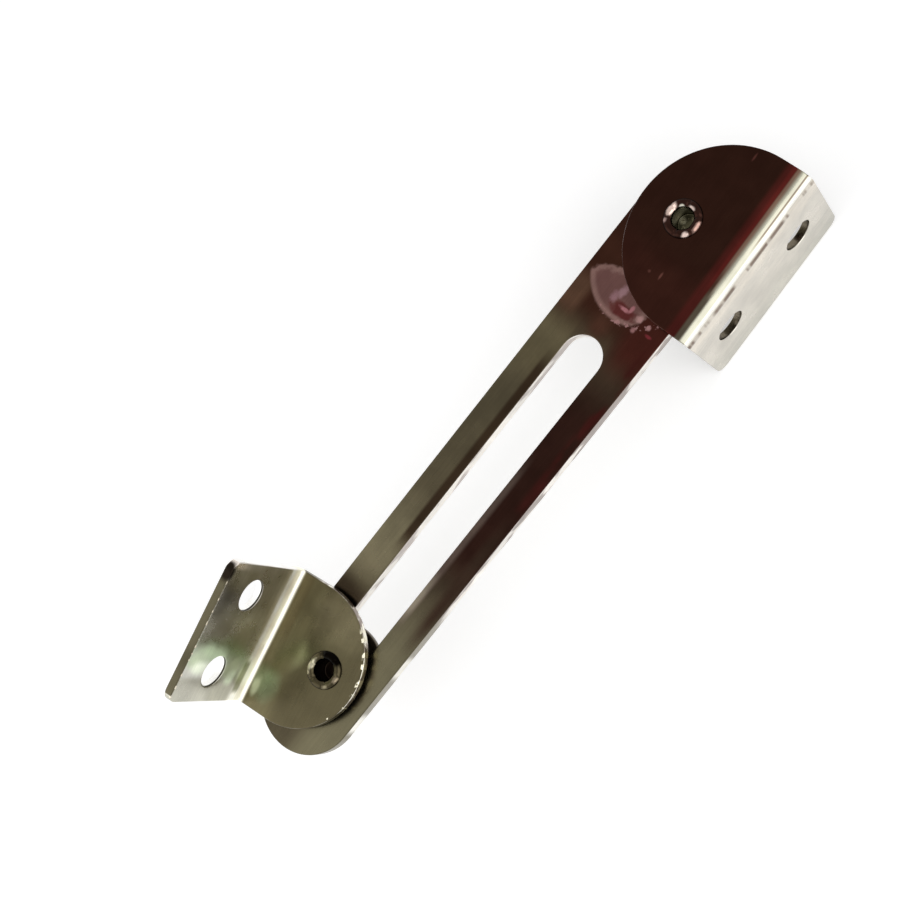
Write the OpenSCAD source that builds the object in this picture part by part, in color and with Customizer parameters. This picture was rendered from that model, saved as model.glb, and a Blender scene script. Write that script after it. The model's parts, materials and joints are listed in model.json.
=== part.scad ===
// Side hinge: a slotted steel arm with a bent leaf bracket riveted near each end.
// The origin lies midway between the upper screw holes, on the outer face of that flange.
// The flange stands in the XZ plane, and both pivots turn about lines along Z.

/* [Arm] */
// Overall length of the slotted arm
arm_len = 128; // [110:1:180]
// Width of the arm
arm_w = 20; // [18:0.5:24]
// Thickness of the arm
arm_t = 2.5; // [1.5:0.1:4]
// Width of the slot, and of the pivot hole
slot_w = 8; // [7:0.1:9]
// Distance from the upper pivot to the near end of the slot
slot_start = 25; // [18:0.5:35]

/* [Bent sheet] */
// Thickness of the bracket sheet
sheet_t = 1.6; // [1:0.1:2.5]
// Inside radius of the bend
bend_r = 0.8; // [0.4:0.1:1.5]
// Overall height of the flanges, leaf thickness included
flange_h = 24; // [20:0.5:32]
// Radius of the flange's outer corners
corner_r = 2; // [1:0.1:4]
// Diameter of the screw holes
screw_d = 6; // [4:0.1:6.5]

/* [Upper bracket] */
// Width of the upper bracket along its bend
upper_w = 34; // [30:0.5:38]
// Distance from the upper pivot to the round end of the leaf
upper_nose = 9; // [8:0.25:12]
// Gap between the arm's edge and the upper flange
upper_gap = 2.4; // [2:0.1:5]
// Distance between the upper screw holes
upper_pitch = 19; // [14:0.5:21]
// Distance from the free edge of the upper flange to its screw holes
upper_edge = 11.5; // [6:0.5:14]

/* [Lower bracket] */
// Width of the lower bracket along its bend
lower_w = 27; // [24:0.5:32]
// Distance from the lower pivot to the round end of the leaf
lower_nose = 7.25; // [6.75:0.25:9]
// Gap between the line of the arm's edge and the lower flange
lower_gap = 2.9; // [2:0.1:5]
// Distance between the lower screw holes
lower_pitch = 15; // [11:0.5:16]
// Distance from the free edge of the lower flange to its screw holes
lower_edge = 9.5; // [6:0.5:14]

/* [Pivots] */
// Radial running clearance of the rivet shoulders in the arm and the washers
running = 0.05; // [0.02:0.01:0.1]
// Axial play on each side of the arm and of each washer
play = 0.05; // [0.02:0.01:0.1]
// Radial clearance of the rivet's tube in its leaf
tube_fit = 0.02; // [0.01:0.01:0.04]
// Thickness of the washers
washer_t = 1; // [0.5:0.1:1.6]
// Diameter of the spacers under the leaves
front_washer_d = 13; // [12:0.5:13.5]
// Diameter of the washer behind the slot
back_washer_d = 18; // [14:0.5:20]
// Step from the rivet's shoulder in to its tube
shoulder_step = 1.25; // [1:0.05:1.5]
// Wall of the rivet's tube
tube_wall = 0.8; // [0.5:0.05:1]
// Depth of the tube below the leaf
tube_depth = 2; // [1:0.1:3]
// Reach of the rolled rim past the tube
rim_lap = 0.8; // [0.5:0.05:1]
// Reach of the rivet's head past its shoulder
head_lap = 1.6; // [1:0.1:2.5]
// Height of the domed part of the head
head_dome = 1.2; // [0.6:0.1:2]
// Thickness of the head at its edge
head_edge = 0.4; // [0.2:0.1:0.8]

/* [Rest pose] */
// Distance of the lower rivet from the far end of its travel in the slot
slide_rest = 7; // [0:0.5:40]
// Turn of the arm away from the upper flange, in degrees
arm_swing = 2.5; // [0:0.5:90]
// Turn of the lower bracket from the arm, in degrees
lower_swing = 12.8; // [0:0.1:90]

/* [Hidden] */
$fn = 96;

// Reach of a cutter past the faces it opens
cut_over = 1;

// Pivots from their flanges' outer faces
upper_face = arm_w / 2 + upper_gap + sheet_t;
lower_face = arm_w / 2 + lower_gap + sheet_t;

// Levels along Z
leaf_back = flange_h - upper_edge - sheet_t;
front_gap = washer_t + 2 * play;
arm_front = leaf_back - front_gap;

// Arm, measured from its pivot towards the slotted end
arm_span = arm_len - arm_w;
slot_near = slot_start + slot_w / 2;
slot_far = arm_span;
pivot_span = slot_far - slide_rest;

// Rivets
shoulder_d = slot_w - 2 * running;
tube_d = shoulder_d - 2 * shoulder_step;
tube_bore = tube_d - 2 * tube_wall;
rim_d = tube_d + 2 * rim_lap;
head_d = shoulder_d + 2 * head_lap;
upper_grip = front_gap + arm_t + play;
lower_grip = front_gap + arm_t + washer_t + 2 * play;

// Colours
bright = [0.78, 0.74, 0.70];
olive = [0.38, 0.35, 0.27];
brown = [0.34, 0.29, 0.23];
maroon = [0.27, 0.13, 0.11];
dark = [0.20, 0.19, 0.17];

// Places the arm's own frame: its pivot at the origin, its front face at Z 0, its slot along +X
module on_arm() {
    translate([0, upper_face, arm_front])
        rotate([0, 0, 180 - arm_swing])
            children();
}

// Places the lower pivot's frame on the arm, with the bracket's bend along X
module on_lower_pivot() {
    on_arm()
        translate([pivot_span, 0, 0])
            rotate([0, 0, 180 + lower_swing])
                children();
}

// Outline of a bar with round ends between two centres on X
module round_bar(w, from, to) {
    for (x = [from, to])
        translate([x, 0])
            circle(d = w);
    translate([from, -w / 2])
        square([to - from, w]);
}

// Side view of the bent sheet, with the pivot at the origin: the leaf lies from Y 0 up to its outer
// face and ends at the nose, the bend is at the -X side, and the flange goes down
module bent_section(nose, face) {
    bend_x = face - sheet_t - bend_r;
    outer_r = bend_r + sheet_t;
    translate([-bend_x, 0])
        square([bend_x + nose, sheet_t]);
    translate([-face, sheet_t - flange_h])
        square([sheet_t, flange_h - outer_r]);
    intersection() {
        translate([-bend_x, -bend_r])
            difference() {
                circle(r = outer_r);
                circle(r = bend_r);
            }
        translate([-face, -bend_r])
            square(outer_r);
    }
}

// Outline of the leaf from above: a half round of the sheet's width, and straight sides past the flange
module leaf_outline(w, nose, face) {
    centre = nose - w / 2;
    translate([0, centre])
        circle(d = w);
    translate([-w / 2, -face - cut_over])
        square([w, face + cut_over + centre]);
}

// Outline of the flange from its outer side: round corners at its free edge, open at the sides and the top
module flange_outline(w) {
    free_edge = sheet_t - flange_h;
    half = w / 2 - corner_r;
    for (x = [-half, half])
        translate([x, free_edge + corner_r])
            circle(r = corner_r);
    translate([-half, free_edge])
        square([2 * half, corner_r]);
    translate([-w / 2 - cut_over, free_edge + corner_r])
        square([w + 2 * cut_over, flange_h - corner_r + cut_over]);
}

// Bent leaf bracket, its pivot at the origin: the leaf lies from Z 0 up to its outer face,
// its bend runs along X at the -Y side, and its flange goes down
module bent_leaf(w, nose, face, pitch, edge) {
    difference() {
        intersection() {
            translate([-w / 2 - cut_over, 0, 0])
                rotate([90, 0, 90])
                    linear_extrude(w + 2 * cut_over)
                        bent_section(nose + cut_over, face);
            translate([0, 0, sheet_t - flange_h - cut_over])
                linear_extrude(flange_h + 2 * cut_over)
                    leaf_outline(w, nose, face);
            translate([0, nose + cut_over, 0])
                rotate([90, 0, 0])
                    linear_extrude(nose + face + 2 * cut_over)
                        flange_outline(w);
        }
        translate([0, 0, -cut_over])
            cylinder(d = tube_d + 2 * tube_fit, h = sheet_t + 2 * cut_over);
        for (x = [-pitch / 2, pitch / 2])
            translate([x, cut_over - face + sheet_t, sheet_t - flange_h + edge])
                rotate([90, 0, 0])
                    cylinder(d = screw_d, h = sheet_t + 2 * cut_over);
    }
}

// Shouldered rivet, its shoulder's seat at Z 0: the tube rises through the leaf and rolls outwards,
// the shoulder goes down through the arm to a domed head
module tube_rivet(grip) {
    bead_r = (rim_d - tube_bore) / 4;
    dome_r = (pow(head_d / 2, 2) + pow(head_dome, 2)) / (2 * head_dome);
    head_seat = -grip;
    difference() {
        union() {
            cylinder(d = tube_d, h = sheet_t);
            translate([0, 0, sheet_t])
                rotate_extrude()
                    intersection() {
                        translate([tube_bore / 2 + bead_r, 0]) circle(r = bead_r);
                        square(rim_d);
                    }
            translate([0, 0, head_seat])
                cylinder(d = shoulder_d, h = grip);
            translate([0, 0, head_seat - head_edge])
                cylinder(d = head_d, h = head_edge);
            intersection() {
                translate([0, 0, head_seat - head_edge - head_dome + dome_r])
                    sphere(r = dome_r);
                translate([0, 0, head_seat - head_edge - head_dome])
                    cylinder(d = head_d, h = head_dome);
            }
        }
        translate([0, 0, -tube_depth])
            cylinder(d = tube_bore, h = tube_depth + sheet_t + rim_d);
    }
}

// Flat washer on a rivet's shoulder, from Z 0 up
module washer(d) {
    difference() {
        cylinder(d = d, h = washer_t);
        translate([0, 0, -cut_over])
            cylinder(d = shoulder_d + 2 * running, h = washer_t + 2 * cut_over);
    }
}

module slotted_arm() {
    color(brown)
        on_arm()
            translate([0, 0, -arm_t])
                linear_extrude(arm_t)
                    difference() {
                        round_bar(arm_w, 0, arm_span);
                        circle(d = shoulder_d + 2 * running);
                        round_bar(slot_w, slot_near, slot_far);
                    }
}

module upper_bracket() {
    color(maroon)
        translate([0, upper_face, leaf_back])
            bent_leaf(upper_w, upper_nose, upper_face, upper_pitch, upper_edge);
}

module upper_rivet() {
    color(bright)
        translate([0, upper_face, leaf_back])
            tube_rivet(upper_grip);
}

module upper_washer() {
    color(dark)
        translate([0, upper_face, arm_front + play])
            washer(front_washer_d);
}

// The same kind of bent leaf, turned over so that its flange goes up
module lower_bracket() {
    color(olive)
        on_lower_pivot()
            translate([0, 0, front_gap + sheet_t])
                rotate([180, 0, 0])
                    bent_leaf(lower_w, lower_nose, lower_face, lower_pitch, lower_edge);
}

module lower_rivet() {
    color(bright)
        on_lower_pivot()
            translate([0, 0, front_gap])
                tube_rivet(lower_grip);
}

module lower_front_washer() {
    color(dark)
        on_lower_pivot()
            translate([0, 0, play])
                washer(front_washer_d);
}

module lower_back_washer() {
    color(dark)
        on_lower_pivot()
            translate([0, 0, -arm_t - play - washer_t])
                washer(back_washer_d);
}

slotted_arm();
upper_bracket();
upper_rivet();
upper_washer();
lower_bracket();
lower_rivet();
lower_front_washer();
lower_back_washer();
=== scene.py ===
import json
import math
import bmesh
import bpy
import numpy as np
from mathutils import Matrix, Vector


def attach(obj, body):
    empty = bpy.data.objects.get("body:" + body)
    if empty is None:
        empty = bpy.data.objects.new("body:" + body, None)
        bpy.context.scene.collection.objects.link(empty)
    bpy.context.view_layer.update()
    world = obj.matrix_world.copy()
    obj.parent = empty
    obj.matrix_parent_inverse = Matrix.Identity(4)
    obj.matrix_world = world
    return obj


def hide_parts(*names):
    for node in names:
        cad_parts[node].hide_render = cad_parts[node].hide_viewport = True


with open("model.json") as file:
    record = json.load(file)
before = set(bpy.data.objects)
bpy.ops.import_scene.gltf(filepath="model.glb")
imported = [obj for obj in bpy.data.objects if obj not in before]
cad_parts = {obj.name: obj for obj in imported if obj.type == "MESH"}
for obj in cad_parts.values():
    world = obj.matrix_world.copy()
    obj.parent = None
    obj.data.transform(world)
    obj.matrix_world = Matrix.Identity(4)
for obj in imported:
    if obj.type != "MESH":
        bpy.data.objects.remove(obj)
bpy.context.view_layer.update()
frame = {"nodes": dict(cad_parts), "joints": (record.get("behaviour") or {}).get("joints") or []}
print("frame:", ", ".join(sorted(frame["nodes"])))

mm = 0.001  # settings are in millimetres, the scene is in metres
weldDigits = 4  # decimals of a millimetre to which welded points agree
sharpAngle = 40  # degrees between faces past which an edge stays a crease
easeSteps = 6  # points on a sheet's quarter-round edge
faceShares = np.array([0, 0.03, 0.1, 0.22, 0.36, 0.5, 0.64, 0.78, 0.9, 0.97, 1])  # from a hole outwards
noiseMiddle = 0.5  # the level about which noise swings


def gridQuads(rows, cols, closed):
    # quads between neighbours of a rows x cols grid; closed joins the last column to the first
    row, col = np.meshgrid(np.arange(rows - 1), np.arange(cols if closed else cols - 1), indexing="ij")
    after = (col + 1) % cols
    corners = [row * cols + col, (row + 1) * cols + col, (row + 1) * cols + after, row * cols + after]
    return np.stack(corners, axis=-1).reshape(-1, 4)


def weld(parts):
    # stacks the grids, and points at one place get one number
    starts = np.cumsum([0] + [len(points) for points, _ in parts])
    points = np.concatenate([points for points, _ in parts])
    quads = np.concatenate([quads + start for (_, quads), start in zip(parts, starts)])
    rounded = np.round(points, weldDigits)
    _, first, number = np.unique(rounded, axis=0, return_index=True, return_inverse=True)
    return points[first], number.reshape(-1)[quads]


def facesOf(quads):
    # a quad with a doubled corner, at a pole, becomes a triangle
    doubled = quads == np.roll(quads, -1, axis=1)
    faces = quads[~doubled.any(axis=1)].tolist()
    for corner in range(4):
        faces += np.delete(quads[doubled[:, corner]], corner, axis=1).tolist()
    return faces


def addPiece(name, surface, body, node, material):
    # a closed smooth mesh at the origin, which rides on its body in place of its CAD node
    points, quads = surface
    mesh = bpy.data.meshes.new(name)
    mesh.from_pydata((points * mm).tolist(), [], facesOf(quads))
    work = bmesh.new()
    work.from_mesh(mesh)
    bmesh.ops.recalc_face_normals(work, faces=work.faces)
    work.to_mesh(mesh)
    work.free()
    mesh.polygons.foreach_set("use_smooth", np.ones(len(mesh.polygons), dtype=bool))
    mesh.set_sharp_from_angle(angle=math.radians(sharpAngle))
    mesh.materials.append(material)
    piece = bpy.data.objects.new(name, mesh)
    bpy.context.scene.collection.objects.link(piece)
    even = piece.modifiers.new("evenNormals", "WEIGHTED_NORMAL")
    even.keep_sharp = True
    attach(piece, body)
    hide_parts(node)
    print("piece:", name, len(mesh.polygons), "faces on", body)


def line(start, end, count):
    # count points from start to just short of end
    share = np.arange(count)[:, None] / count
    return np.array(start) + (np.array(end) - np.array(start)) * share


def arc(centre, radius, fromDeg, toDeg, count):
    # count points on a circle from one angle to just short of the other
    turn = np.radians(fromDeg + (toDeg - fromDeg) * np.arange(count) / count)
    return np.array(centre) + radius * np.stack([np.cos(turn), np.sin(turn)], axis=1)


def paired(x, s):
    # points from their x and s, of which one may be the same for all
    return np.stack(np.broadcast_arrays(x, s), axis=-1).astype(float)


def aroundSpine(points, spine, radius):
    # for each point, the nearest place on a slot of that radius round a spine along the first axis
    foot = np.stack([np.clip(points[:, 0], *spine[0]), np.full(len(points), spine[1])], axis=1)
    away = points - foot
    return foot + radius * away / np.linalg.norm(away, axis=1, keepdims=True)


def ringCell(outer, spine, radius):
    # straight lines from a hole's rim to a loop round it, cut at the same shares
    inner = aroundSpine(outer, spine, radius)
    return inner + (outer - inner) * faceShares[:, None, None]


def easedSheet(outline, holes, plain, thick, ease, place):
    # Both faces are flat cells, one round each hole and the plain ones, at height 0 and at the full
    # thickness. Round the outline and each hole a wall joins them, its section a quarter round, a straight
    # and a quarter round: inset = ease (1 - sin a) and height = ease (1 - cos a).
    turn = np.linspace(0, math.pi / 2, easeSteps)
    inset, rise = ease * (1 - np.sin(turn)), ease * (1 - np.cos(turn))
    inset = np.concatenate([inset, inset[::-1]])
    height = np.concatenate([rise, thick - rise[::-1]])
    cells = [(ringCell(loop, spine, radius + ease), True) for loop, spine, radius in holes]
    cells += [(cell, False) for cell in plain]
    walls = [[outline(depth) for depth in inset]]
    for loop, spine, radius in holes:
        walls.append([aroundSpine(loop, spine, radius + depth) for depth in inset])
    parts = []
    for cell, closed in cells:
        quads = gridQuads(*cell.shape[:2], closed)
        for level in (0, thick):
            parts.append((place(cell.reshape(-1, 2), level), quads))
    for rings in map(np.stack, walls):
        levels = np.repeat(height, rings.shape[1])
        parts.append((place(rings.reshape(-1, 2), levels), gridQuads(*rings.shape[:2], True)))
    return weld(parts)


def turned(points, origin, degrees):
    # a turn about Z, then a move
    cosine, sine = math.cos(math.radians(degrees)), math.sin(math.radians(degrees))
    return points @ np.array([[cosine, sine, 0], [-sine, cosine, 0], [0, 0, 1]]) + np.array(origin)


def revolved(profile, origin, sides, shape=None):
    # the profile's radius and height carried round Z; shape may change both with the angle
    angle = np.linspace(0, 2 * math.pi, sides, endpoint=False)
    radius, height = profile[:, :1] + 0 * angle, profile[:, 1:] + 0 * angle
    if shape:
        radius, height = shape(radius, height, angle)
    points = np.stack([radius * np.cos(angle), radius * np.sin(angle), height], axis=-1)
    return weld([(points.reshape(-1, 3) + np.array(origin), gridQuads(len(profile), sides, True))])


def paint(red, green, blue):
    # a colour as read from a screen, 0 to 255, made linear by the sRGB curve
    level = np.array([red, green, blue]) / 255
    return (*np.where(level <= 0.04045, level / 12.92, ((level + 0.055) / 1.055) ** 2.4), 1)


def plug(tree, socket, value):
    if isinstance(value, bpy.types.NodeSocket):
        tree.links.new(value, socket)
    else:
        socket.default_value = value


def addNode(tree, kind, inputs, **settings):
    node = tree.nodes.new(kind)
    for key, value in settings.items():
        setattr(node, key, value)
    for key, value in inputs.items():
        plug(tree, node.inputs[key], value)
    return node


def compute(tree, operation, *values):
    return addNode(tree, "ShaderNodeMath", dict(enumerate(values)), operation=operation).outputs[0]


def computeVector(tree, operation, *values):
    return addNode(tree, "ShaderNodeVectorMath", dict(enumerate(values)), operation=operation).outputs


def smooth(tree, value, start, end, fromLevel=0.0, toLevel=1.0):
    # an eased step from one level to another between start and end
    inputs = {"Value": value, "From Min": start, "From Max": end, "To Min": fromLevel, "To Max": toLevel}
    return addNode(tree, "ShaderNodeMapRange", inputs, interpolation_type="SMOOTHSTEP").outputs["Result"]


def noise(tree, vector, scale, detail=3.0, rough=0.5):
    inputs = {"Vector": vector, "Scale": scale, "Detail": detail, "Roughness": rough}
    return addNode(tree, "ShaderNodeTexNoise", inputs).outputs["Fac"]


def newGroup(name, inputs, outputs):
    group = bpy.data.node_groups.new(name, "ShaderNodeTree")
    for label, value in inputs.items():
        kind = "NodeSocketVector" if isinstance(value, tuple) else "NodeSocketFloat"
        group.interface.new_socket(label, in_out="INPUT", socket_type=kind).default_value = value
    for label in outputs:
        group.interface.new_socket(label, in_out="OUTPUT", socket_type="NodeSocketFloat")
    return group, group.nodes.new("NodeGroupInput").outputs, group.nodes.new("NodeGroupOutput").inputs


def bandGroup():
    # 1 between Start and End, fading over Soft at both
    inputs = {"Position": 0.0, "Start": 0.0, "End": 1.0, "Soft": 1.0}
    group, given, result = newGroup("toneBand", inputs, ["Mask"])
    half = compute(group, "MULTIPLY", given["Soft"], 0.5)
    masks = []
    for key, levels in (("Start", (0.0, 1.0)), ("End", (1.0, 0.0))):
        low = compute(group, "SUBTRACT", given[key], half)
        high = compute(group, "ADD", given[key], half)
        masks.append(smooth(group, given["Position"], low, high, *levels))
    plug(group, result["Mask"], compute(group, "MULTIPLY", *masks))
    return group


def spotGroup():
    # 1 at Centre, 0 past the ellipsoid of Reach, with an edge that noise makes ragged
    inputs = {"Place": (0.0, 0.0, 0.0), "Centre": (0.0, 0.0, 0.0), "Reach": (1.0, 1.0, 1.0),
              "Core": 0.3, "Ragged": 0.3, "Detail": 0.6}
    group, given, result = newGroup("toneSpot", inputs, ["Mask"])
    away = computeVector(group, "SUBTRACT", given["Place"], given["Centre"])["Vector"]
    share = computeVector(group, "DIVIDE", away, given["Reach"])["Vector"]
    length = computeVector(group, "LENGTH", share)["Value"]
    uneven = compute(group, "SUBTRACT", noise(group, given["Place"], given["Detail"]), noiseMiddle)
    distance = compute(group, "ADD", length, compute(group, "MULTIPLY", uneven, given["Ragged"]))
    mask = smooth(group, distance, given["Core"], 1.0, fromLevel=1.0, toLevel=0.0)
    plug(group, result["Mask"], mask)
    return group


def patchGroup():
    # noise drawn out by Stretch, cut at Level into patches with soft edges
    inputs = {"Place": (0.0, 0.0, 0.0), "Stretch": (1.0, 1.0, 1.0), "Level": 0.5, "Soft": 0.08}
    group, given, result = newGroup("tonePatch", inputs, ["Mask"])
    drawn = computeVector(group, "MULTIPLY", given["Place"], given["Stretch"])["Vector"]
    top = compute(group, "ADD", given["Level"], given["Soft"])
    cloud = noise(group, drawn, scale=1.0, detail=2.0)
    plug(group, result["Mask"], smooth(group, cloud, given["Level"], top))
    return group


def grainGroup():
    # Cloud is a slow unevenness of the plating, Streak its fine lines along X, Speck rare pits, and
    # Height the lines and pits together for bump
    inputs = {"Place": (0.0, 0.0, 0.0), "Cloud Size": 6.0, "Line Length": 9.0, "Line Width": 0.12}
    group, given, result = newGroup("platingGrain", inputs, ["Cloud", "Streak", "Speck", "Height"])
    place = given["Place"]
    cloudScale = compute(group, "DIVIDE", 1.0, given["Cloud Size"])
    along = compute(group, "DIVIDE", 1.0, given["Line Length"])
    across = compute(group, "DIVIDE", 1.0, given["Line Width"])
    scales = {"X": along, "Y": across, "Z": across}
    scale = addNode(group, "ShaderNodeCombineXYZ", scales).outputs["Vector"]
    drawn = computeVector(group, "MULTIPLY", place, scale)["Vector"]
    cloud = noise(group, place, cloudScale, detail=5.0, rough=0.55)
    streak = noise(group, drawn, scale=1.0, detail=4.0, rough=0.6)
    cells = addNode(group, "ShaderNodeTexVoronoi", {"Vector": place, "Scale": 0.9}).outputs
    pits = smooth(group, cells["Distance"], start=0.05, end=0.11, fromLevel=1.0, toLevel=0.0)
    fields = smooth(group, noise(group, place, scale=0.35), start=0.52, end=0.6)
    speck = compute(group, "MULTIPLY", pits, fields)
    plug(group, result["Cloud"], cloud)
    plug(group, result["Streak"], streak)
    plug(group, result["Speck"], speck)
    plug(group, result["Height"], compute(group, "SUBTRACT", streak, speck))
    return group


toneBand, toneSpot, tonePatch, platingGrain = bandGroup(), spotGroup(), patchGroup(), grainGroup()
print("groups: toneBand, toneSpot, tonePatch, platingGrain")


def plating(name, finish):
    # One plated metal, painted in a piece's own millimetres: origin and turn put X along the piece. Each
    # layer is a colour and the masks that limit it; many layers are painted reflections, highlights and
    # shade set in the colour. A mask is a band (start, end, softness) on x, y, z, on q, which unrolls a
    # bent sheet, or on r, the distance from a centre; a spot (centre, reach, core, raggedness, detail); or
    # patches of noise (stretch, level, softness). Haze adds roughness in its mask.
    material = bpy.data.materials.new(name)
    material.use_nodes = True
    tree = material.node_tree
    shader = tree.nodes["Principled BSDF"]
    shader.inputs["Metallic"].default_value = 1
    inputs = {"Vector": addNode(tree, "ShaderNodeTexCoord", {}).outputs["Object"],
              "Location": tuple(length * mm for length in (*finish["origin"], 0)),
              "Rotation": (0, 0, math.radians(finish["turn"])), "Scale": (mm, mm, mm)}
    place = addNode(tree, "ShaderNodeMapping", inputs, vector_type="TEXTURE").outputs["Vector"]
    split = addNode(tree, "ShaderNodeSeparateXYZ", {"Vector": place}).outputs
    flat = computeVector(tree, "MULTIPLY", place, (1, 1, 0))["Vector"]
    fromCentre = computeVector(tree, "SUBTRACT", flat, (*finish["centre"], 0))["Vector"]
    unrolled = compute(tree, "ADD", split["Y"], split["Z"])
    axes = {"x": split["X"], "y": split["Y"], "z": split["Z"],
            "q": compute(tree, "MULTIPLY_ADD", unrolled, *finish["unroll"]),
            "r": computeVector(tree, "LENGTH", fromCentre)["Value"]}

    def grouped(group, labels, values):
        node = addNode(tree, "ShaderNodeGroup", {}, node_tree=group)
        for label, value in zip(labels, values):
            plug(tree, node.inputs[label], value)
        return node.outputs

    def maskOf(kind, *values):
        if kind == "spot":
            labels = ("Place", "Centre", "Reach", "Core", "Ragged", "Detail")
            return grouped(toneSpot, labels, (place, *values))["Mask"]
        if kind == "patch":
            return grouped(tonePatch, ("Place", "Stretch", "Level", "Soft"), (place, *values))["Mask"]
        return grouped(toneBand, ("Position", "Start", "End", "Soft"), (axes[kind], *values))["Mask"]

    def swung(source, span, middle, swing):
        return smooth(tree, source, *span, middle - swing, middle + swing)

    colour = paint(*finish["base"])
    for tone, *masks in finish["layers"]:
        cover = maskOf(*masks[0])
        for mask in masks[1:]:
            cover = compute(tree, "MULTIPLY", cover, maskOf(*mask))
        mix = addNode(tree, "ShaderNodeMix", {0: cover, 6: colour, 7: paint(*tone)}, data_type="RGBA")
        colour = mix.outputs[2]

    labels = ("Place", "Cloud Size", "Line Length")
    grain = grouped(platingGrain, labels, (place, finish["cloudSize"], finish["lineLength"]))
    cloud = swung(grain["Cloud"], finish["toneRange"], 1, finish["cloud"])
    fine = swung(grain["Streak"], finish["toneRange"], 1, finish["streaks"])
    shade = compute(tree, "MULTIPLY", cloud, fine)
    plug(tree, shader.inputs["Base Color"], computeVector(tree, "MULTIPLY", colour, shade)["Vector"])
    level = swung(grain["Cloud"], finish["roughRange"], finish["rough"], finish["roughSwing"])
    level = compute(tree, "ADD", level, compute(tree, "MULTIPLY", grain["Speck"], finish["speckRough"]))
    for dull, *mask in finish["haze"]:
        level = compute(tree, "ADD", level, compute(tree, "MULTIPLY", maskOf(*mask), dull))
    plug(tree, shader.inputs["Roughness"], level)
    inputs = {"Height": grain["Height"], "Strength": finish["bump"], "Distance": finish["bumpHeight"] * mm}
    plug(tree, shader.inputs["Normal"], addNode(tree, "ShaderNodeBump", inputs).outputs["Normal"])
    print("finish:", name, len(finish["layers"]), "layers")
    return material


plated = dict(cloudSize=6, lineLength=12, cloud=0.14, streaks=0.08, toneRange=(0.25, 0.75),
              roughRange=(0.2, 0.8), roughSwing=0.06, speckRough=0.25, bump=0.12, bumpHeight=0.02,
              unroll=(1, 0), centre=(0, 0), haze=[])

joints = {joint["name"]: joint for joint in frame["joints"]}
upperPivot = tuple(length / mm for length in joints["upper_pivot"]["pos_m"][:2])
lowerPivot = tuple(length / mm for length in joints["lower_pivot"]["pos_m"][:2])
slideX, slideY, _ = joints["slot_slide"]["axis"]
armTurn = math.degrees(math.atan2(-slideY, -slideX))  # the slide runs back along the arm
lowerTurn = 10.3  # turns are in degrees about Z
armThick, sheetThick, washerThick, play = 2.5, 1.6, 1, 0.05
armFront = 9.8  # heights of the flat faces
armBack = armFront - armThick
leafBack = armFront + washerThick + 2 * play
leafFront = leafBack + sheetThick


def armSurface(arm):
    # A flat bar with round ends, u along it from the pivot and v across: one cell round the pivot hole,
    # one round the slot, and a straight seam between them.
    half, span = arm["width"] / 2, arm["length"] - arm["width"]
    slotNear, seamU = arm["slotStart"] + arm["slotWidth"] / 2, arm["seam"]
    nearSteps, endSteps, leadSteps, railSteps, seamSteps = 10, 72, 8, 60, 24

    def outline(inset):
        edge = half - inset
        return np.concatenate([
            line((seamU, edge), (0, edge), nearSteps),
            arc((0, 0), edge, 90, 270, endSteps),
            line((0, -edge), (seamU, -edge), nearSteps),
            line((seamU, -edge), (slotNear, -edge), leadSteps),
            line((slotNear, -edge), (span, -edge), railSteps),
            arc((span, 0), edge, -90, 90, endSteps),
            line((span, edge), (slotNear, edge), railSteps),
            line((slotNear, edge), (seamU, edge), leadSteps)])

    edge = outline(arm["ease"])
    split = 2 * nearSteps + endSteps
    cut = line(edge[split], edge[0], seamSteps)[1:]
    head = np.concatenate([edge[:split + 1], cut])
    rails = np.concatenate([edge[split:], edge[:1], cut[::-1]])
    holes = [(head, ((0, 0), 0), arm["pivotHole"] / 2),
             (rails, ((slotNear, span), 0), arm["slotWidth"] / 2)]

    def place(points, height):
        flat = np.concatenate([points, np.broadcast_to(height, len(points))[:, None]], axis=1)
        return turned(flat, arm["origin"], arm["turn"])

    return easedSheet(outline, holes, [], arm["thick"], arm["ease"], place)


slottedArm = dict(length=128, width=20, thick=armThick, slotWidth=8, slotStart=25, pivotHole=8, seam=14,
                  ease=0.22, origin=(*upperPivot, armBack), turn=armTurn)
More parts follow.
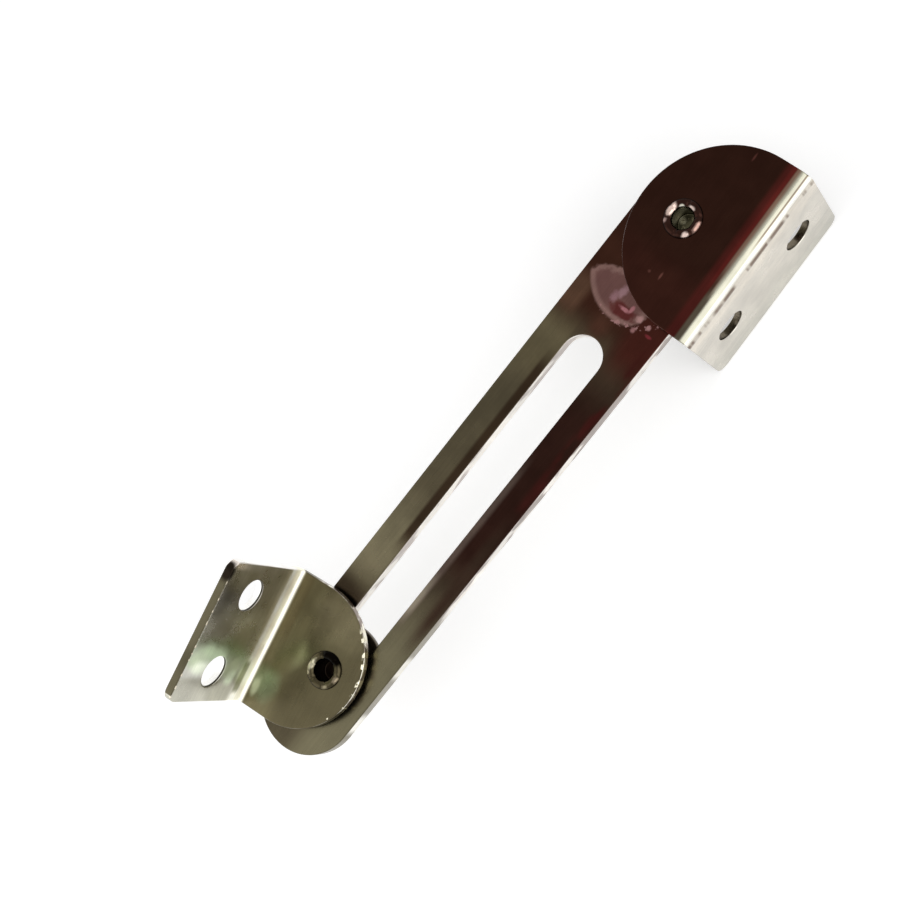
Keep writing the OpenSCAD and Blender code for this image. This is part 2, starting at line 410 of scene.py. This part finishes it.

# x runs from the upper pivot along the arm, and y is positive on the rail beside the upper flange; r is
# from the centre of a mauve mark's round edge, beside the upper leaf
leftRail = ("y", -12, -4, 1)
armWall, outerWall = ("z", 7.46, 9.66, 0.1), ("y", 8, 12, 1)
armPlatingAndPaintedLight = dict(plated, origin=upperPivot, turn=armTurn, base=(76, 69, 53), rough=0.26,
                  centre=(10.5, -0.3))
# Most tones here are painted reflections of the surroundings, set in the plating's colour: olive on the
# left rail and far end, dark brown at the head, dark red along the right rail.
armPlatingAndPaintedLight["layers"] = [
    [(88, 80, 60), ("x", 24, 37, 6), leftRail],
    [(104, 97, 76), ("x", 69, 85, 12), leftRail],
    # painted shade on the left rail beside the lower bracket
    [(60, 51, 40), ("x", 86, 99, 4), leftRail],
    [(92, 87, 68), ("x", 66, 140, 30), ("y", 2, 12, 3)],  # right rail and far end
    [(66, 60, 46), ("x", 106, 140, 6), ("y", -12, 3, 6)],
    [(52, 30, 22), ("x", -30, 25, 9)],  # head, dark brown, a painted reflection
    [(78, 56, 43), ("x", 17, 24, 4), ("y", -12, -6.5, 2)],
    [(68, 43, 33), ("spot", (22.6, -0.9, armFront), (3.4, 3, 3), 0.1, 0.3, 0.6)],
    [(41, 24, 19), ("x", 26, 80, 26), ("y", 3, 12, 2)],  # right rail again, near black, a painted reflection
    [(60, 29, 23), ("x", -30, 27, 8), ("y", 4, 12, 4)],
    [(58, 24, 21), ("x", 17, 56, 12), ("y", 8.3, 9.9, 1.6), ("patch", (0.13, 0.3, 0), 0.4, 0.24)],
    [(78, 65, 58), ("x", 51, 84, 10), ("y", 3.6, 5.2, 1)],
    [(124, 115, 100), ("x", 76, 84, 6), ("y", 3.6, 5, 1)],
    [(50, 39, 28), ("x", 33, 75, 6), ("y", -5.6, -3.9, 0.8)],  # dark line along the slot
    [(50, 37, 29), ("x", 62, 86, 12), ("y", 7.8, 9.9, 2)],
    [(118, 90, 84), ("r", 3, 10.1, 0.6),  # mauve mark with pink spots
     ("spot", (16.9, -2.1, armFront), (4.8, 7.3, 4), 0.88, 0.2, 0.9)],
    [(98, 69, 65), ("r", 3, 9.2, 0.8), ("spot", (16.9, -2.1, armFront), (4, 6.4, 4), 0.8, 0.5, 0.9)],
    [(80, 38, 36), ("spot", (18.4, 0.9, armFront), (1.6, 3.6, 3), 0.5, 0.7, 0.9), ("r", 3, 9.4, 0.5)],
    [(128, 95, 99), ("spot", (17.1, -2.1, armFront), (1.5, 1, 3), 0.3, 0.8, 1.2)],
    [(138, 106, 110), ("spot", (15.7, -1.3, armFront), (1.7, 1, 3), 0.3, 0.8, 1.2)],
    [(150, 99, 103), ("spot", (17.9, 0.9, armFront), (0.5, 1.5, 3), 0.3, 0.9, 1.4)],
    [(150, 99, 103), ("spot", (17.2, 2, armFront), (1, 0.55, 3), 0.3, 0.9, 1.4)],
    [(140, 104, 102), ("r", 9.6, 10.4, 0.3), ("y", -4, 8.5, 2), ("x", 13.4, 24, 1),  # beads on its edge
     ("patch", (1.2, 1.2, 0), 0.5, 0.1)],
    [(164, 126, 123), ("spot", (17.6, 4.2, armFront), (0.9, 0.8, 3), 0.3, 0.9, 1.4)],
    [(150, 112, 110), ("spot", (17.9, 6.5, armFront), (0.6, 0.6, 3), 0.3, 0.6, 1.4)],
    [(132, 94, 93), ("spot", (19.8, 4.5, armFront), (0.7, 0.6, 3), 0.3, 0.6, 1.4)],
    [(106, 42, 46), ("spot", (19.1, 7.4, armFront), (0.4, 1, 3), 0.3, 0.6, 1.4)],
    [(150, 146, 134), ("z", 0, 7.42, 0.1)],  # back
    # the walls are painted bright as a painted reflection, with darker patches, and painted glints near
    # the far end
    [(240, 235, 228), armWall],
    [(192, 183, 178), armWall, ("patch", (0.12, 0.05, 0.3), 0.48, 0.1)],
    [(160, 150, 144), armWall, outerWall, ("patch", (0.12, 0.05, 0.3), 0.5, 0.1)],
    [(146, 141, 128), armWall, outerWall, ("x", 80, 107, 6)],
    [(120, 114, 96), armWall, ("x", 104, 140, 4)],
    [(236, 232, 222), armWall, ("x", 89.5, 94, 2)],
    [(240, 237, 228), armWall, ("x", 103, 107, 2)]]

addPiece("slottedArm", armSurface(slottedArm), "arm", "slotted_arm",
         plating("armPlatingAndPaintedLight", armPlatingAndPaintedLight))


def bracketSurface(bracket):
    # The bracket's flat pattern has x along the bend and s from the round end to the flange's free edge.
    # Folding leaves s straight up to bendStart, carries it a quarter turn round the bend, and lets the
    # rest hang straight down as the flange.
    thick, inside, ease = bracket["thick"], bracket["bendInside"], bracket["ease"]
    half = bracket["width"] / 2  # the round end's radius too
    bendStart = bracket["nose"] + bracket["face"] - thick - inside
    bendEnd = bendStart + (inside + thick / 2) * math.pi / 2
    freeEdge = bendEnd + bracket["flangeHeight"] - thick - inside
    cornerX, cornerS = half - bracket["cornerRadius"], freeEdge - bracket["cornerRadius"]
    sideSteps, noseSteps, bendSteps, flangeSteps, cornerSteps, acrossSteps = 6, 96, 14, 30, 12, 48

    def outline(inset):
        edge, curve = half - inset, bracket["cornerRadius"] - inset
        return np.concatenate([
            line((edge, bendStart), (edge, half), sideSteps),
            arc((0, half), edge, 0, -180, noseSteps),
            line((-edge, half), (-edge, bendStart), sideSteps),
            line((-edge, bendStart), (-edge, bendEnd), bendSteps),
            line((-edge, bendEnd), (-edge, cornerS), flangeSteps),
            arc((-cornerX, cornerS), curve, 180, 90, cornerSteps),
            line((-cornerX, freeEdge - inset), (cornerX, freeEdge - inset), acrossSteps),
            arc((cornerX, cornerS), curve, 90, 0, cornerSteps),
            line((edge, cornerS), (edge, bendEnd), flangeSteps),
            line((edge, bendEnd), (edge, bendStart), bendSteps)])

    edge = outline(ease)
    centre = acrossSteps // 2
    leftStart = 2 * sideSteps + noseSteps
    leftEnd = leftStart + bendSteps
    middle = leftEnd + flangeSteps + cornerSteps + centre
    rightEnd = middle + centre + cornerSteps + flangeSteps
    columns = np.linspace(-half + ease, half - ease, acrossSteps + 1)
    seam = paired(0, np.linspace(bendEnd, freeEdge - ease, flangeSteps + 1)[1:-1])
    leaf = np.concatenate([edge[:leftStart + 1], paired(columns[1:-1], bendStart)])
    fold = paired(columns[None, :], edge[leftStart:leftEnd + 1, 1:])
    left = np.concatenate([edge[leftEnd:middle + 1], seam[::-1], paired(columns[centre:0:-1], bendEnd)])
    right = np.concatenate([edge[middle:rightEnd + 1], paired(columns[-2:centre - 1:-1], bendEnd), seam])
    holeX, holeS = bracket["pitch"] / 2, freeEdge - bracket["holeEdge"]
    holeRadius = bracket["screwHole"] / 2
    holes = [(leaf, ((0, 0), bracket["nose"]), bracket["tubeHole"] / 2),
             (left, ((-holeX, -holeX), holeS), holeRadius),
             (right, ((holeX, holeX), holeS), holeRadius)]

    def place(points, height):
        x, s = points.T
        turn = np.clip((s - bendStart) / (bendEnd - bendStart), 0, 1) * math.pi / 2
        radius = inside + height
        y = bracket["nose"] - np.minimum(s, bendStart) - radius * np.sin(turn)
        z = radius * np.cos(turn) - inside - np.maximum(s - bendEnd, 0)
        upright = np.stack([x, y, z], axis=1)
        if bracket["turnedOver"]:
            upright = upright * (1, -1, -1)
        return turned(upright, bracket["origin"], bracket["turn"])

    return easedSheet(outline, holes, [fold], thick, ease, place)


bentSheet = dict(thick=sheetThick, bendInside=0.8, flangeHeight=24, cornerRadius=2, screwHole=6,
                 tubeHole=5.44, ease=0.22)
leafEdge = ("z", 11.08, 12.42, 0.1)

upperBracket = dict(bentSheet, width=34, nose=9, face=14, pitch=19, holeEdge=11.5,
                    origin=(*upperPivot, leafBack), turn=0, turnedOver=False)

# q is below 0 on the leaf, 0 to 4.8 round the bend, and above that down the flange
upperLeafEdge = ("q", -40, -2.6, 0.3)
upperPlatingAndPaintedLight = dict(plated, origin=upperPivot, turn=0, base=(41, 23, 17), rough=0.24, unroll=(-1, 0.9))
# The dark maroon leaf, the red beside the bend and the pale flange are painted reflections of the
# surroundings, set in the plating's colour.
upperPlatingAndPaintedLight["layers"] = [
    [(49, 26, 20), ("x", -30, -7, 6)],
    [(66, 27, 23), ("q", -2.1, 0.2, 1.2)],
    [(84, 31, 27), ("q", -1.1, 0.2, 0.8), ("x", -6, 30, 6)],
    [(88, 55, 48), ("spot", (-9.9, -2.9, leafFront), (1, 0.3, 1), 0.3, 0.5, 2.0)],  # scratches
    [(76, 44, 38), ("spot", (14.8, -3.9, leafFront), (1.1, 0.25, 1), 0.3, 0.5, 2.0)],
    [(76, 46, 40), ("spot", (-10.3, -0.7, leafFront), (0.4, 0.4, 1), 0.3, 0.5, 2.0)],
    [(60, 36, 28), ("q", -0.3, 0.4, 0.4)],  # bend, painted as a highlight: a pale band with a white ridge, edged darker
    [(116, 92, 78), ("q", -0.3, 0.4, 0.4), ("x", -4, 30, 6)],
    [(132, 121, 106), ("q", 0.25, 60, 0.4)],
    [(170, 168, 152), ("q", 0.6, 60, 0.6)],
    [(80, 72, 60), ("q", -0.25, 0.85, 0.5), ("x", -30, -7.5, 4)],
    [(112, 100, 88), ("q", 1.75, 2.15, 0.25), ("x", 3, 30, 5)],
    [(232, 229, 221), ("q", 2.4, 3.5, 0.5)],
    [(214, 207, 195), ("q", 3.5, 60, 0.5)],  # flange, pale grey, a painted reflection
    # brown dashes of painted reflection at the foot of the bend
    [(124, 109, 97), ("q", 3.7, 4.9, 0.7), ("patch", (0.42, 0.03, 0.03), 0.45, 0.14)],
    [(202, 197, 187), ("q", 8, 60, 3)],
    [(186, 183, 173), ("q", 20, 60, 12)],
    [(110, 102, 88), ("y", -13.8, -12, 0.1), ("z", -20, 9.5, 1)],  # its hole walls, edges and back, painted darker as shade in the screw holes
    [(92, 72, 68), leafEdge, upperLeafEdge],  # edge of the leaf, with painted highlights in patches
    [(190, 172, 168), leafEdge, upperLeafEdge, ("patch", (0.4, 0.4, 0.9), 0.46, 0.16)]]

addPiece("upperBracket", bracketSurface(upperBracket), "upper_leaf", "upper_bracket",
         plating("upperPlatingAndPaintedLight", upperPlatingAndPaintedLight))

lowerBracket = dict(bentSheet, width=27, nose=7.25, face=14.5, pitch=15, holeEdge=9.5,
                    origin=(*lowerPivot, leafFront), turn=lowerTurn, turnedOver=True)

# q unrolls the side that faces up: below 0 on the leaf, 0 to 1.6 round the bend, then up the flange; r is
# from the centre of the leaf's round end
flangeY = 12.9  # the side of the flange that faces the leaf
holesX, holesZ = ("x", -11.4, 11.4, 0.4), ("z", 20, 31, 0.4)
lowerLeafEdge = ("y", -30, 9, 1)
lowerPlatingAndPaintedLight = dict(plated, bump=0.08, origin=lowerPivot, turn=lowerTurn, base=(78, 72, 53), rough=0.28,
                    unroll=(1, -24.6), centre=(0, 6.25))
lowerPlatingAndPaintedLight["haze"] = [
    (0.4, "spot", (-5.7, flangeY, 29.5), (4.4, 4, 11), 0.25, 0.3, 0.3),
    (0.45, "spot", (-12.6, flangeY, 19), (4.2, 1.4, 7), 0.4, 0.3, 0.3),
    (0.28, "spot", (-8, flangeY, 20), (4.4, 1.4, 3.6), 0.3, 0.3, 0.3),
    (0.25, "q", 0, 4, 1.4)]
# The olive leaf with its pale spots and the pale flange are painted reflections of the surroundings, set
# in the plating's colour.
lowerPlatingAndPaintedLight["layers"] = [
    [(104, 97, 74), ("spot", (10, 1.5, leafFront), (8, 9, 3), 0.2, 0.6, 0.3)],
    [(130, 126, 97), ("spot", (0, 6.6, leafFront), (4.2, 3.2, 3), 0.2, 0.6, 0.3)],
    [(96, 90, 66), ("q", -6, 0, 3)],
    [(88, 80, 57), ("q", -2.4, -0.2, 1), ("x", 1, 30, 6)],
    [(216, 215, 206), ("q", 1, 60, 1)],  # flange, a painted reflection
    [(184, 180, 172), ("q", 6, 60, 6), ("x", 4, 30, 5)],
    [(196, 211, 180), ("spot", (-3.6, flangeY, 27), (4.4, 1.4, 13), 0.2, 0.4, 0.3)],  # pale green sheen, a painted reflection, with brighter spots below
    [(200, 210, 184), ("spot", (-5.4, flangeY, 32), (2.4, 1.4, 5), 0.2, 0.4, 0.3)],
    [(206, 204, 188), ("q", 1, 60, 2), ("x", -30, -9.2, 1.6)],
    [(182, 180, 166), ("q", 15, 60, 9), ("x", -30, -8.9, 1.6)],
    [(242, 247, 230), ("spot", (-6.9, flangeY, 30), (2.2, 1.4, 4.2), 0.2, 0.4, 0.3)],
    [(200, 207, 176), ("spot", (-6.9, flangeY, 20.4), (3.4, 1.4, 3.4), 0.3, 0.4, 0.3)],
    [(238, 247, 222), ("spot", (-8.8, flangeY, 19.4), (2.2, 1.4, 2.2), 0.2, 0.4, 0.3)],
    # painted reflection along the flange's side by the corner, darker then light
    [(164, 160, 144), ("x", 8, 12.2, 2), ("z", 26, 33.5, 3)],
    [(255, 244, 234), ("x", 12.2, 13.4, 1), ("z", 31, 36, 5)],
    [(120, 128, 100), ("spot", (-8, 9.6, leafFront), (4.4, 4, 2), 0.2, 0.4, 0.3)],  # painted reflection of the sheen on the leaf
    [(172, 178, 152), ("spot", (-9.4, 11.1, leafFront), (2.6, 1.1, 2), 0.2, 0.4, 0.6)],
    [(252, 250, 240), ("q", 0.7, 5, 2)],  # painted highlight at the foot of the flange
    [(176, 176, 150), ("q", 3, 4.8, 0.8), ("x", -11.6, -5.4, 1.5)],
    [(250, 246, 230), ("q", 0.2, 2.8, 0.6)],  # painted highlight on the bend
    [(255, 254, 250), ("y", 13.2, 14.4, 0.1), holesX, holesZ],  # screw hole walls painted white as the bright background seen through them, with painted shade at their rim
    [(60, 57, 47), ("y", 12.96, 13.3, 0.1), holesX, holesZ],
    [(84, 79, 62), ("z", 34.72, 40, 0.1)],  # free edge, darker, with painted glints along its inner side
    [(226, 216, 196), ("z", 34.5, 34.8, 0.12), ("y", 12, 13.3, 0.2), ("patch", (0.9, 0, 0), 0.52, 0.06)],
    [(250, 248, 244), ("x", 13.3, 20, 0.1), ("z", 14.5, 40, 1)],  # flange's side painted bright as a highlight, and a dark corner
    [(34, 28, 22), ("spot", (11.5, 13.8, 34.8), (2.8, 1.9, 1.5), 0.5, 0.3, 0.6), ("y", 0, 14.35, 0.2)],
    [(150, 138, 130), leafEdge, lowerLeafEdge],  # edge of the leaf, with painted highlights in patches
    [(248, 244, 230), leafEdge, lowerLeafEdge, ("patch", (0.4, 0.4, 0.9), 0.46, 0.12)],
    [(84, 78, 58), leafEdge, ("x", -30, -4, 4)],
    # painted highlights as beads along the leaf's round edge
    [(240, 234, 210), ("r", 13.05, 14, 0.16), ("y", -30, -3, 1), ("patch", (0.6, 0.6, 0), 0.54, 0.08)]]

addPiece("lowerBracket", bracketSurface(lowerBracket), "lower_leaf", "lower_bracket",
         plating("lowerPlatingAndPaintedLight", lowerPlatingAndPaintedLight))


def rivetSurface(rivet):
    # From the bottom of the bore up its wall, over the rolled rim, down the tube and the shoulder, and
    # round the domed head to the axis. The last number of a line or an arc is its count of points.
    bore, tube, rim = rivet["bore"] / 2, rivet["tube"] / 2, rivet["rim"] / 2
    shoulder, head, seat = rivet["shoulder"] / 2, rivet["head"] / 2, -rivet["grip"]
    sheet, bottom, dome, ease = rivet["sheet"], -rivet["depth"], rivet["dome"], rivet["ease"]
    bead = (rim - bore) / 2
    domeRadius = (head ** 2 + dome ** 2) / (2 * dome)
    domeTop = seat - rivet["headEdge"] - dome
    spread = math.degrees(math.asin(head / domeRadius))
    profile = np.concatenate([
        line((0, bottom), (bore - ease, bottom), 4),
        arc((bore - ease, bottom + ease), ease, -90, 0, 5),
        line((bore, bottom + ease), (bore, sheet), 10),
        arc((bore + bead, sheet), bead, 180, 0, 24),
        line((rim, sheet), (tube, sheet), 3),
        line((tube, sheet), (tube, 0), 4),
        line((tube, 0), (shoulder - ease, 0), 3),
        arc((shoulder - ease, -ease), ease, 90, 0, 4),
        line((shoulder, -ease), (shoulder, seat), 8),
        line((shoulder, seat), (head - ease, seat), 4),
        arc((head - ease, seat - ease), ease, 90, 0, 4),
        line((head, seat - ease), (head, seat - rivet["headEdge"]), 2),
        arc((0, domeTop + domeRadius), domeRadius, spread - 90, -90, 16),
        [(0, domeTop)]])

    def shape(radius, height, angle):
        # The rim is lowered by waveDepth (1 + sin(3 angle + phase) cos(2 angle - phase)) / 2, and round
        # each nick, where the tube split, by a bell of nickDepth, which also narrows it.
        rise = np.clip((height - sheet) / bead, 0, 1)
        away = np.abs((angle[:, None] - np.radians(rivet["nicks"]) + math.pi) % (2 * math.pi) - math.pi)
        nick = np.exp(-(away / np.radians(rivet["nickWidth"])) ** 2).max(axis=1)
        wave = (1 + np.sin(3 * angle + rivet["phase"]) * np.cos(2 * angle - rivet["phase"])) / 2
        lower = rise * (rivet["nickDepth"] * nick + rivet["waveDepth"] * wave)
        pinch = rise * rivet["nickPinch"] * rivet["nickDepth"] * nick
        return radius + pinch * (bore + bead - radius), height - lower

    return revolved(profile, rivet["origin"], rivet["sides"], shape)


tubeRivet = dict(bore=3.8, tube=5.4, rim=7, shoulder=7.9, head=11.1, sheet=sheetThick, depth=2, dome=1.2,
                 headEdge=0.4, ease=0.15, nickWidth=7, nickDepth=0.22, nickPinch=0.5, waveDepth=0.1,
                 sides=144)
rolled = dict(plated, turn=0, rough=0.22, cloudSize=1.6, lineLength=2, cloud=0.2, streaks=0.1, bump=0.15)
rimZ = 13.1  # height of the painted glints on a rolled rim
# the bore's hollow, painted dark as shade
rivetHollow = [("r", 0, 2.05, 0.2), ("z", 7.5, 12.9, 0.3)]
rivetHead = [(150, 142, 128), ("z", -10, 7.4, 0.1)]

upperRivet = dict(tubeRivet, grip=3.65, origin=(*upperPivot, leafBack), phase=0.6,
                  nicks=(12, 75, 118, 190, 246, 305))
upperRivetPlatingAndPaintedLight = dict(rolled, origin=upperPivot, base=(44, 27, 22))
upperRivetPlatingAndPaintedLight["layers"] = [
    [(206, 183, 172), ("spot", (0.25, 2.5, rimZ), (1.6, 0.8, 2), 0.5, 0.5, 1.6)],  # painted glints
    [(150, 126, 120), ("spot", (-1.95, 2.35, rimZ), (0.6, 0.6, 2), 0.3, 0.9, 1.6)],
    [(166, 150, 142), ("spot", (2.2, -0.45, rimZ), (0.5, 0.9, 2), 0.4, 0.5, 1.6)],
    [(164, 132, 121), ("spot", (0, -3.2, rimZ), (1.5, 0.6, 2), 0.4, 0.6, 1.6)],
    [(232, 208, 198), ("spot", (-2.2, -2.3, rimZ), (0.9, 0.7, 2), 0.3, 0.6, 1.6)],
    # painted shade in the hollow
    [(70, 67, 50), *rivetHollow],
    # painted highlights in the hollow: a pale spot at its bottom, a glint at its rim and specks
    [(168, 164, 140), ("spot", (0, 1.2, 8.9), (0.9, 0.8, 1), 0.3, 0.4, 1.6)],
    [(214, 210, 194), ("spot", (1.5, 1.25, 12.8), (0.65, 0.65, 0.7), 0.5, 0.3, 1.6)],
    [(112, 106, 84), ("r", 0.8, 1.8, 0.3), ("z", 7.5, 12, 0.3), ("patch", (1.3, 1.3, 0), 0.54, 0.06)],
    rivetHead]

addPiece("upperRivet", rivetSurface(upperRivet), "upper_leaf", "upper_rivet",
         plating("upperRivetPlatingAndPaintedLight", upperRivetPlatingAndPaintedLight))

lowerRivet = dict(tubeRivet, grip=4.7, origin=(*lowerPivot, leafBack), phase=2.1,
                  nicks=(40, 98, 160, 221, 283, 340))
lowerRivetPlatingAndPaintedLight = dict(rolled, origin=lowerPivot, base=(66, 60, 44))
lowerRivetPlatingAndPaintedLight["layers"] = [
    # painted highlights on the rim: a cream arc and specks
    [(176, 170, 146), ("spot", (-0.6, 2.5, rimZ), (1.8, 0.7, 2), 0.3, 0.7, 1.2)],
    [(190, 180, 158), ("spot", (-2.3, 2.2, rimZ), (0.6, 0.6, 2), 0.3, 0.7, 1.6)],
    [(130, 118, 98), ("spot", (0.2, -3, rimZ), (0.9, 0.6, 2), 0.3, 0.9, 1.6)],
    [(120, 112, 90), ("spot", (-2.2, -2.2, rimZ), (0.9, 0.7, 2), 0.3, 0.9, 1.6)],
    [(9, 7, 5), ("spot", (3.1, 0.4, rimZ), (1.9, 3.2, 2), 0.6, 0.4, 0.8)],  # painted shadow, a dark crescent on one side of the rim
    # painted shade in the hollow
    [(40, 32, 26), *rivetHollow],
    rivetHead]

addPiece("lowerRivet", rivetSurface(lowerRivet), "lower_leaf", "lower_rivet",
         plating("lowerRivetPlatingAndPaintedLight", lowerRivetPlatingAndPaintedLight))


def washerSurface(washer):
    # a closed ring section with quarter-round corners, carried round Z
    ease, top = washer["ease"], washer["thick"]
    inner, outer = washer["bore"] / 2, washer["width"] / 2
    cornerSteps, faceSteps = 5, 8
    section = np.concatenate([
        arc((outer - ease, ease), ease, -90, 0, cornerSteps),
        arc((outer - ease, top - ease), ease, 0, 90, cornerSteps),
        line((outer - ease, top), (inner + ease, top), faceSteps),
        arc((inner + ease, top - ease), ease, 90, 180, cornerSteps),
        arc((inner + ease, ease), ease, 180, 270, cornerSteps),
        line((inner + ease, 0), (outer - ease, 0), faceSteps)])
    return revolved(np.concatenate([section, section[:1]]), washer["origin"], washer["sides"])


flatWasher = dict(bore=8, thick=washerThick, ease=0.15, sides=120)
upperWasher = dict(flatWasher, width=13, origin=(*upperPivot, armFront + play))
lowerFrontWasher = dict(flatWasher, width=13, origin=(*lowerPivot, armFront + play))
lowerBackWasher = dict(flatWasher, width=18, origin=(*lowerPivot, armBack - play - washerThick))

# r is from the washer's axis
ringRadii = np.arange(4.2, 9, 0.35).round(2).tolist()
turnedSteel = dict(plated, turn=0, base=(92, 84, 72), rough=0.34, cloudSize=2.5, lineLength=3,
                   streaks=0.05, bump=0.1)
turnedSteel["layers"] = [[(118, 108, 94), ("r", radius, radius + 0.1, 0.1)] for radius in ringRadii]
upperSteel = plating("upperWasherSteel", dict(turnedSteel, origin=upperPivot))
lowerSteel = plating("lowerWasherSteel", dict(turnedSteel, origin=lowerPivot))

addPiece("upperWasher", washerSurface(upperWasher), "upper_leaf", "upper_washer",
         upperSteel)
addPiece("lowerFrontWasher", washerSurface(lowerFrontWasher), "slider",
         "lower_front_washer", lowerSteel)
addPiece("lowerBackWasher", washerSurface(lowerBackWasher), "slider",
         "lower_back_washer", lowerSteel)


studio = dict(floorSide=6000, floorSteps=9, floorLevel=-11.55, floorColour=(0.86, 0.86, 0.86),
              floorRough=0.9, floorGlow=0.36, floorFade=(250, 1200), worldLight=0.55,
              cameraPlace=(-19.793, -80.523, 243.649), cameraTurn=(8.6835, 24.0764, -50.5195),
              lens=58.1046, sensor=36, clip=(5, 50000),
              lamps=[("keySoftbox", (60, -420, 330), (-50, 15, 10), 600, 1.5),
                     ("fillSoftbox", (-420, 180, 300), (-50, 15, 10), 500, 0.7)])


def seenDirectly(tree):
    # 1 for rays from the camera, off metal or through glass
    rays = addNode(tree, "ShaderNodeLightPath", {}).outputs
    first = compute(tree, "MAXIMUM", rays["Is Camera Ray"], rays["Is Glossy Ray"])
    return compute(tree, "MAXIMUM", first, rays["Is Transmission Ray"])


def addFloor(setup):
    # a flat grid under the object; its glow lifts it to white where it is seen, little near the object so
    # that the shadow stays, and fully far from it
    half, steps = setup["floorSide"] / 2 * mm, setup["floorSteps"]
    reach = np.linspace(-half, half, steps)
    x, y = np.meshgrid(reach, reach, indexing="ij")
    points = np.stack([x, y, np.full_like(x, setup["floorLevel"] * mm)], axis=-1).reshape(-1, 3)
    mesh = bpy.data.meshes.new("studioFloor")
    mesh.from_pydata(points.tolist(), [], gridQuads(steps, steps, False)[:, ::-1].tolist())
    material = bpy.data.materials.new("studioFloor")
    material.use_nodes = True
    tree = material.node_tree
    shader = tree.nodes["Principled BSDF"]
    shader.inputs["Base Color"].default_value = (*setup["floorColour"], 1)
    shader.inputs["Roughness"].default_value = setup["floorRough"]
    shader.inputs["Specular IOR Level"].default_value = 0
    where = addNode(tree, "ShaderNodeTexCoord", {}).outputs["Object"]
    away = computeVector(tree, "LENGTH", where)["Value"]
    near, far = setup["floorFade"]
    level = smooth(tree, away, near * mm, far * mm, setup["floorGlow"], 1.0)
    strength = compute(tree, "MULTIPLY", seenDirectly(tree), level)
    glow = addNode(tree, "ShaderNodeEmission", {"Strength": strength})
    both = addNode(tree, "ShaderNodeAddShader", {0: shader.outputs[0], 1: glow.outputs[0]})
    plug(tree, tree.nodes["Material Output"].inputs["Surface"], both.outputs[0])
    mesh.materials.append(material)
    floor = bpy.data.objects.new("studioFloor", mesh)
    bpy.context.scene.collection.objects.link(floor)


def addWorld(setup):
    # white where it is seen, softer as light
    world = bpy.data.worlds.new("studioWorld")
    world.use_nodes = True
    tree = world.node_tree
    ground = tree.nodes["Background"]
    ground.inputs["Color"].default_value = (1, 1, 1, 1)
    inputs = {"Value": seenDirectly(tree), "To Min": setup["worldLight"], "To Max": 1.0}
    plug(tree, ground.inputs["Strength"], addNode(tree, "ShaderNodeMapRange", inputs).outputs["Result"])
    bpy.context.scene.world = world


def addLamp(name, place, aim, side, power):
    lamp = bpy.data.lights.new(name, "AREA")
    lamp.shape = "SQUARE"
    lamp.size = side * mm
    lamp.energy = power
    towards = Vector(np.array(aim, float) - np.array(place, float))
    holder = bpy.data.objects.new(name, lamp)
    holder.location = np.array(place) * mm
    holder.rotation_euler = towards.to_track_quat("-Z", "Y").to_euler()
    bpy.context.scene.collection.objects.link(holder)


def addCamera(setup):
    camera = bpy.data.cameras.new("photoCamera")
    camera.lens = setup["lens"]
    camera.sensor_width = setup["sensor"]
    camera.clip_start = setup["clip"][0] * mm
    camera.clip_end = setup["clip"][1] * mm
    holder = bpy.data.objects.new("photoCamera", camera)
    holder.location = np.array(setup["cameraPlace"]) * mm
    holder.rotation_euler = np.radians(setup["cameraTurn"])
    bpy.context.scene.collection.objects.link(holder)
    bpy.context.scene.camera = holder


addFloor(studio)
addWorld(studio)
for lamp in studio["lamps"]:
    addLamp(*lamp)
addCamera(studio)
bpy.context.scene.view_settings.view_transform = "Standard"
print("studio: floor, world,", len(studio["lamps"]), "lamps, camera")
